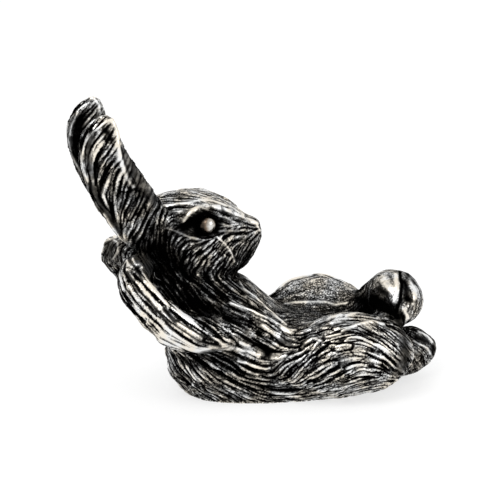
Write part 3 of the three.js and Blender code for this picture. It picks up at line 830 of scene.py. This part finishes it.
def strands(points, columns, flow, noise, reach):
    """Noise drawn out along the flow over a number of steps, which leaves streaks like hairs."""
    points = points.astype(np.float32)
    flow = flow.astype(np.float32)
    noise = noise - noise.mean()
    total = noise.copy()
    weight = np.exp(-HAIR_FADE * (np.arange(1, STEPS + 1)[:, None] / reach) ** 2)
    for way in (1, -1):
        place = np.arange(len(points))
        missed = np.zeros_like(points)
        heading = way * flow
        for step in range(1, STEPS + 1):
            here = flow[place]
            heading = here * np.sign((here * heading).sum(axis=1, keepdims=True))
            target = points[place] + missed + STEP * heading
            best = place
            best_gap = ((points[place] - target) ** 2).sum(axis=1)
            for column in columns:
                choice = column[place]
                gap = ((points[choice] - target) ** 2).sum(axis=1)
                nearer = gap < best_gap
                best = np.where(nearer, choice, best)
                best_gap = np.where(nearer, gap, best_gap)
            place = best
            missed = target - points[place]
            missed *= np.minimum(1, STEP / np.maximum(np.sqrt(best_gap), 1e-6))[:, None]
            total += weight[step - 1] * noise[place]
    return total / np.sqrt(1 + 2 * (weight ** 2).sum(axis=0))


def locks(points, normals, flow, width, length):
    """Stretched cells round random middles.

    Gives the ridge height, from 0 at a cell's edge, and the cell's number.
    """
    chance = SKIN_VOXEL ** 2 / (width * length)
    middles = np.flatnonzero(np.random.default_rng(LOCK_SEED).random(len(points)) < chance)
    wander = WANDER * width[:, None] * waver(points, WANDER_CELL * width, LOCK_SEED)
    wandered = (points + wander).astype(np.float32)
    single = {
        "point": points[middles], "flow": flow[middles], "normal": normals[middles],
        "width": width[middles], "length": length[middles],
    }
    single = {key: value.astype(np.float32) for key, value in single.items()}
    flow = flow.astype(np.float32)
    normals = normals.astype(np.float32)
    ridge = np.zeros(len(points))
    number = np.zeros(len(points), dtype=int)
    cell = np.floor(points / BLOCK).astype(np.int64)
    _, group = np.unique(cell @ np.array(BLOCK_KEYS), return_inverse=True)
    order = np.argsort(group.reshape(-1), kind="stable")
    edges = np.flatnonzero(np.diff(group.reshape(-1)[order])) + 1
    for members in np.split(order, edges):
        centre = points[members].mean(axis=0)
        reach = BLOCK + LOCK_SEARCH * length[members].max()
        near = np.flatnonzero(((single["point"] - centre) ** 2).sum(axis=1) < reach ** 2)
        offset = wandered[members][:, None] - single["point"][near][None]
        heading = 0.5 * (flow[members][:, None] + single["flow"][near][None])
        lengthwise = (offset * heading).sum(axis=2)
        outward = (offset * single["normal"][near][None]).sum(axis=2)
        sideways = np.maximum((offset ** 2).sum(axis=2) - lengthwise ** 2 - outward ** 2, 0)
        gap = (lengthwise / single["length"][near]) ** 2
        gap += (sideways + outward ** 2) / single["width"][near] ** 2
        gap += OTHER_WAY * (normals[members] @ single["normal"][near].T < 0)
        nearest = gap.argmin(axis=1)
        row = np.arange(len(members))
        first = gap[row, nearest]
        gap[row, nearest] = FAR
        ridge[members] = np.sqrt(gap.min(axis=1)) - np.sqrt(first)
        number[members] = near[nearest]
    return ridge, number


def marked(points, normals, kinds):
    """Rise, tone, core and cover of the single marks at each point; the tones carry painted highlights and
    painted shade. They fade out on what is edge on.
    """
    places = on_sheet(points, normals)
    facing = smoothstep(0.0, MARK_FACING, folded(normals, normals) @ camera_axes()[2])
    rise, tone, core, cover = np.zeros((4, len(places)))
    for kind, half_width, mark_rise, mark_tone, line in MARKS:
        chosen = np.flatnonzero(kinds == kind)
        gap, _ = gap_to_line(places[chosen], line)
        share = facing[chosen] * np.exp(-(gap / half_width) ** 2)
        rise[chosen] += mark_rise * share
        tone[chosen] += mark_tone * share
        core[chosen] = np.maximum(core[chosen], share)
        wide = facing[chosen] * np.exp(-(gap / half_width / MARK_MARGIN) ** 2)
        cover[chosen] = np.maximum(cover[chosen], wide)
    return rise, tone, core, cover


def furred(form, form_quads, known):
    """The skin with its fur carved in, the fields that colour it, and which casting each face belongs to."""
    points, quads = remeshed(form, form_quads, SKIN_VOXEL)
    columns = neighbours(quads, len(points))
    points = lowered(polished(points, columns, SKIN_SMOOTHING), SKIN_DROP, BASE_HEIGHT)
    normals = normals_of(points, quads)
    source = nearest_index(form, points)
    owner = known["owner"][source]
    style, flow, sky, swell = (spread(known[key][source], columns, SKIN_ROUNDS) for key in FORM_ROUNDS)
    width, length, depth, tone = style.T
    flow = along(flow + BEND * waver(points, BEND_CELL, BEND_SEED), normals)
    ridge, number = locks(points, normals, flow, width, length)
    chance = np.random.default_rng(CHANCE_SEED).random(number.max() + 1)[number]
    fine, coarse = (lattice_noise(points, cell, HAIR_SEED) for cell in (FINE_HAIR, COARSE_HAIR))
    coarseness = smoothstep(NARROW_LOCK, WIDE_LOCK, width)
    reach = np.clip(HAIR_LENGTH * length / STEP, LEAST_STEPS, STEPS)
    streaks = strands(points, columns, flow, fine + coarseness * (coarse - fine), reach)
    hair = ranked(streaks - spread(streaks, columns, HAIR_BALANCE), owner)
    rise, mark_tone, core, cover = marked(points, normals, kinds_of(points, normals, owner))
    crest = RIDGE_SHARE * smoothstep(*RIDGE_EDGE, ridge) + HAIR_SHARE * smoothstep(*HAIR_EDGE, hair)
    high = smoothstep(*SWELL_EDGE, swell)
    depth = np.where(points[:, 2] < TABLE_CLEARANCE, 0, depth)
    strength = np.clip(depth / FULL_DEPTH, 0, 1)
    bare = 1 - MARK_COVER * cover
    mark_tone = mark_tone + CARVED_TONE * MARK_COVER * strength * (core - cover)
    height = bare * depth * (crest - CUT_SHARE + LOCK_RISE * (chance - 0.5)) + rise
    carved = points + height[:, None] * normals
    carved[:, 2] = np.maximum(carved[:, 2], 0)
    # The patch and mark tones bring painted light and shade into the tone here
    tone = BASE_TONE + tone + mark_tone + LOCK_TONE * (chance - 0.5) + SWELL_TONE * (high - 0.5)
    fields = {
        # Painted shade, with patina, in crevices and between parts, from how open each point is
        "tone": tone + SHADE_AND_PATINA_TONE * (sky - OPEN_SKY),
        "ridge": ridge,
        "hair": hair,
        "strength": bare * strength,
        "grain": bare * (GRAIN_TONE - GRAIN_LOSS * strength),
    }
    return carved, quads, fields, face_owners(settled(owner, columns, SKIN_ROUNDS), quads)


def face_owners(owner, quads):
    """The casting that holds most of each face's corners."""
    corners = np.sort(owner[quads], axis=1)
    paired = (corners[:, 0] == corners[:, 1]) | (corners[:, 1] == corners[:, 2])
    return np.where(paired, corners[:, 1], corners[:, 2])


# Materials

def new_material(name):
    """A new material, its node tree and the inputs of its shader."""
    material = bpy.data.materials.new(name)
    material.use_nodes = True
    tree = material.node_tree
    return material, tree, tree.nodes["Principled BSDF"].inputs


def feed(tree, inputs, values):
    """Gives each input a plain value or a link from another node."""
    for name, value in values.items():
        if isinstance(value, bpy.types.NodeSocket):
            tree.links.new(value, inputs[name])
        else:
            inputs[name].default_value = value


def math(tree, operation, *values):
    node = tree.nodes.new("ShaderNodeMath")
    node.operation = operation
    feed(tree, node.inputs, dict(enumerate(values)))
    return node.outputs["Value"]


def centred(tree, value):
    return math(tree, "SUBTRACT", value, 0.5)


def field(tree, name):
    node = tree.nodes.new("ShaderNodeAttribute")
    node.attribute_name = name
    return node.outputs["Fac"]


def noise(tree, scale, detail):
    node = tree.nodes.new("ShaderNodeTexNoise")
    place = tree.nodes.new("ShaderNodeTexCoord").outputs["Object"]
    feed(tree, node.inputs, {"Vector": place, "Scale": scale, "Detail": detail})
    return node.outputs["Fac"]


def ranged(tree, value, source, target, interpolation="LINEAR"):
    """A value of the source range brought into the target range."""
    node = tree.nodes.new("ShaderNodeMapRange")
    node.interpolation_type = interpolation
    names = ("Value", "From Min", "From Max", "To Min", "To Max")
    feed(tree, node.inputs, dict(zip(names, (value, *source, *target))))
    return node.outputs["Result"]


def rising(tree, value, edge):
    return ranged(tree, value, edge, (0, 1), "SMOOTHSTEP")


def mixed(tree, blend, share, first, second):
    node = tree.nodes.new("ShaderNodeMix")
    node.data_type = "RGBA"
    node.blend_type = blend
    feed(tree, node.inputs, {"Factor": share, "A": first, "B": second})
    return node.outputs["Result"]


def coloured(tree, value, colours):
    """The colour that a value has between stops at given places."""
    node = tree.nodes.new("ShaderNodeValToRGB")
    stops = node.color_ramp.elements
    while len(stops) < len(colours):
        stops.new(0.5)
    for stop, (position, colour) in zip(stops, colours):
        stop.position = position
        stop.color = colour
    feed(tree, node.inputs, {"Fac": value})
    return node.outputs["Color"]


def antique_pewter():
    """Black in the grooves, dull grey between and rubbed silver on the ridges; the tone field adds painted
    light and shade.
    """
    material, tree, shader = new_material("antique_pewter")

    def lost(value, edge, tone):
        """The tone that is missing below an edge."""
        return math(tree, "MULTIPLY", math(tree, "SUBTRACT", rising(tree, value, edge), 1.0), tone)

    hair = field(tree, "hair")
    strand = centred(tree, hair)
    ridge = math(tree, "ADD", field(tree, "ridge"), math(tree, "MULTIPLY", strand, EDGE_WANDER))
    grooves = math(tree, "ADD", lost(ridge, GROOVE_EDGE, GROOVE_TONE), lost(ridge, SLOPE_EDGE, SLOPE_TONE))
    cuts = math(tree, "ADD", lost(hair, CUT_EDGE, CUT_TONE), math(tree, "MULTIPLY", strand, STRAND_TONE))
    carving = math(tree, "MULTIPLY", math(tree, "ADD", grooves, cuts), field(tree, "strength"))
    grain = math(tree, "MULTIPLY", centred(tree, noise(tree, *GRAIN_NOISE)), field(tree, "grain"))
    blotch = math(tree, "MULTIPLY", centred(tree, noise(tree, *BLOTCH_NOISE)), BLOTCH_TONE)
    texture = math(tree, "ADD", grain, blotch)
    level = math(tree, "ADD", field(tree, "tone"), math(tree, "ADD", carving, texture))
    grey = coloured(tree, level, [(position, (tone, tone, tone, 1)) for position, tone in GREYS])
    warmth = rising(tree, centred(tree, noise(tree, *TARNISH_NOISE)), TARNISH_EDGE)
    tarnish = mixed(tree, "MIX", warmth, COOL_TARNISH, WARM_TARNISH)
    feed(tree, shader, {
        "Base Color": mixed(tree, "MULTIPLY", 1.0, grey, tarnish),
        "Roughness": ranged(tree, level, GLOSS_TONES, GLOSS_ROUGHNESS),
        "Metallic": rising(tree, level, BARE_METAL),
        "Specular IOR Level": 0.0,
    })
    return material


def polished_pewter():
    """Stained in mottles, with painted shade towards the rim in the socket and painted light where the tone
    is high.
    """
    material, tree, shader = new_material("polished_pewter")
    level = math(tree, "MULTIPLY_ADD", noise(tree, *STAIN_NOISE), STAIN_TONE, field(tree, "tone"))
    feed(tree, shader, {
        "Base Color": coloured(tree, level, BEAD_COLOURS),
        "Roughness": BEAD_ROUGHNESS,
        "Metallic": 1.0,
    })
    return material


# Pieces

def closed_piece(points, quads, fields):
    """One casting's share of the skin: its quads, with each open edge drawn to a point inside it."""
    used, local = np.unique(quads, return_inverse=True)
    quads = local.reshape(-1, 4)
    points = points[used]
    faces = quads.tolist()
    count = len(points)
    start = np.concatenate([quads[:, corner] for corner in range(4)]).astype(np.int64)
    end = np.concatenate([quads[:, (corner + 1) % 4] for corner in range(4)])
    open_edge = ~np.isin(end * count + start, start * count + end)
    following = {}
    for first, second in zip(end[open_edge].tolist(), start[open_edge].tolist()):
        following.setdefault(first, []).append(second)
    middles = []
    while following:
        loop = [next(iter(following))]
        while True:
            ways = following[loop[-1]]
            after = ways.pop()
            if not ways:
                del following[loop[-1]]
            if after == loop[0] or after not in following:
                break
            loop.append(after)
        middle = count + len(middles)
        faces.extend([first, second, middle] for first, second in zip(loop, loop[1:] + loop[:1]))
        middles.append(points[loop].mean(axis=0))
    points = np.concatenate([points, np.reshape(middles, (-1, 3))])
    own = {}
    for name, values in fields.items():
        own[name] = np.concatenate([values[used], np.zeros(len(middles))])
    return points, faces, own


def add_mesh(name, points, faces, material):
    mesh = bpy.data.meshes.new(name)
    mesh.from_pydata((points * MM).tolist(), [], faces)
    mesh.shade_smooth()
    mesh.materials.append(material)
    piece = bpy.data.objects.new(name, mesh)
    bpy.context.scene.collection.objects.link(piece)
    return piece


def add_field(piece, name, values):
    layer = piece.data.attributes.new(name, "FLOAT", "POINT")
    layer.data.foreach_set("value", values.astype(np.float32))


def make_skin(material):
    points, quads, fields, face_owner = furred(*make_form())
    for index, node in enumerate(SKIN_NODES):
        piece_points, faces, own = closed_piece(points, quads[face_owner == index], fields)
        piece = add_mesh("carved_" + node, piece_points, faces, material)
        for name, values in own.items():
            add_field(piece, name, values)
        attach(piece, "root")
        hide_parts(node)


def ball(middle, radius):
    """The points and faces of a round bead."""
    down = np.pi * np.arange(1, BEAD_RINGS) / BEAD_RINGS
    around = 2 * np.pi * np.arange(BEAD_SIDES) / BEAD_SIDES
    shell = np.stack(np.broadcast_arrays(
        np.sin(down)[:, None] * np.cos(around), np.sin(down)[:, None] * np.sin(around),
        np.cos(down)[:, None]), axis=2).reshape(-1, 3)
    shell = np.concatenate([shell, [[0, 0, 1], [0, 0, -1]]]) * radius + middle
    faces = []
    last = (BEAD_RINGS - 2) * BEAD_SIDES
    for side in range(BEAD_SIDES):
        after = (side + 1) % BEAD_SIDES
        faces.append([len(shell) - 2, side, after])
        faces.append([last + after, last + side, len(shell) - 1])
        for here in range(0, last, BEAD_SIDES):
            below = here + BEAD_SIDES
            faces.append([here + side, below + side, below + after, here + after])
    return shell, faces


def make_eyes(material):
    for node in ("eye_left", "eye_right"):
        low, high = (np.array(corner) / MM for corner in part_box(node))
        radius = (high - low).max() / 2
        middle = (low + high) / 2
        shell, faces = ball(middle, radius)
        bead = add_mesh("bead_" + node, shell, faces, material)
        hand = np.sign(middle[1])
        # Painted light on the side turned towards EYE_LIGHT, and painted shade towards the socket
        lit = unit(shell - middle) @ unit(np.array([EYE_LIGHT]) * [1, hand, 1])[0]
        outward = hand * (shell[:, 1] - middle[1]) / radius
        tone = BEAD_TONE * smoothstep(*LIT_EDGE, lit) * smoothstep(*SOCKET_SHADE_EDGE, outward)
        add_field(bead, "tone", tone)
        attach(bead, "root")
        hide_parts(node)


# Stage

def seen(tree):
    """1 for rays of the camera, of reflections and of clear things, 0 for light that falls on things."""
    path = tree.nodes.new("ShaderNodeLightPath").outputs
    mirrored = math(tree, "MAXIMUM", path["Is Camera Ray"], path["Is Glossy Ray"])
    return math(tree, "MAXIMUM", mirrored, path["Is Transmission Ray"])


def make_floor():
    """A white floor on which the shadow stays faint."""
    corners = FLOOR_HALF * np.array([(-1, -1, 0), (1, -1, 0), (1, 1, 0), (-1, 1, 0)])
    material, tree, shader = new_material("floor")
    feed(tree, shader, {
        "Base Color": FLOOR_TONE,
        "Roughness": FLOOR_ROUGHNESS,
        "Emission Color": WHITE,
        "Emission Strength": ranged(tree, seen(tree), (0, 1), (0, FLOOR_GLOW)),
    })
    add_mesh("floor", corners, [(0, 1, 2, 3)], material)


def make_world():
    """White as the background and in reflections, a little less as light."""
    world = bpy.data.worlds.new("studio")
    world.use_nodes = True
    bpy.context.scene.world = world
    tree = world.node_tree
    strength = ranged(tree, seen(tree), (0, 1), WORLD_STRENGTH)
    feed(tree, tree.nodes["Background"].inputs, {"Color": WHITE, "Strength": strength})


def add_lamp(name, place, size, power):
    lamp = bpy.data.lights.new(name, "AREA")
    lamp.size = size
    lamp.energy = power
    stand = bpy.data.objects.new(name, lamp)
    stand.location = place
    stand.rotation_euler = (Vector(LAMP_TARGET) - stand.location).to_track_quat("-Z", "Y").to_euler()
    bpy.context.scene.collection.objects.link(stand)


def make_camera():
    right, up, back = (Vector(axis) for axis in camera_axes())
    camera = bpy.data.cameras.new("camera")
    camera.lens = CAMERA_LENS
    camera.sensor_width = SENSOR_WIDTH
    camera.clip_start = CLIP_START
    stand = bpy.data.objects.new("camera", camera)
    turn = Matrix((right, up, back)).transposed().to_4x4()
    stand.matrix_world = Matrix.Translation(Vector(camera_place()) * MM) @ turn
    bpy.context.scene.collection.objects.link(stand)
    bpy.context.scene.camera = stand


bpy.context.scene.view_settings.view_transform = "Standard"
make_camera()
make_world()
make_floor()
for lamp in LAMPS:
    add_lamp(*lamp)
make_skin(antique_pewter())
make_eyes(polished_pewter())
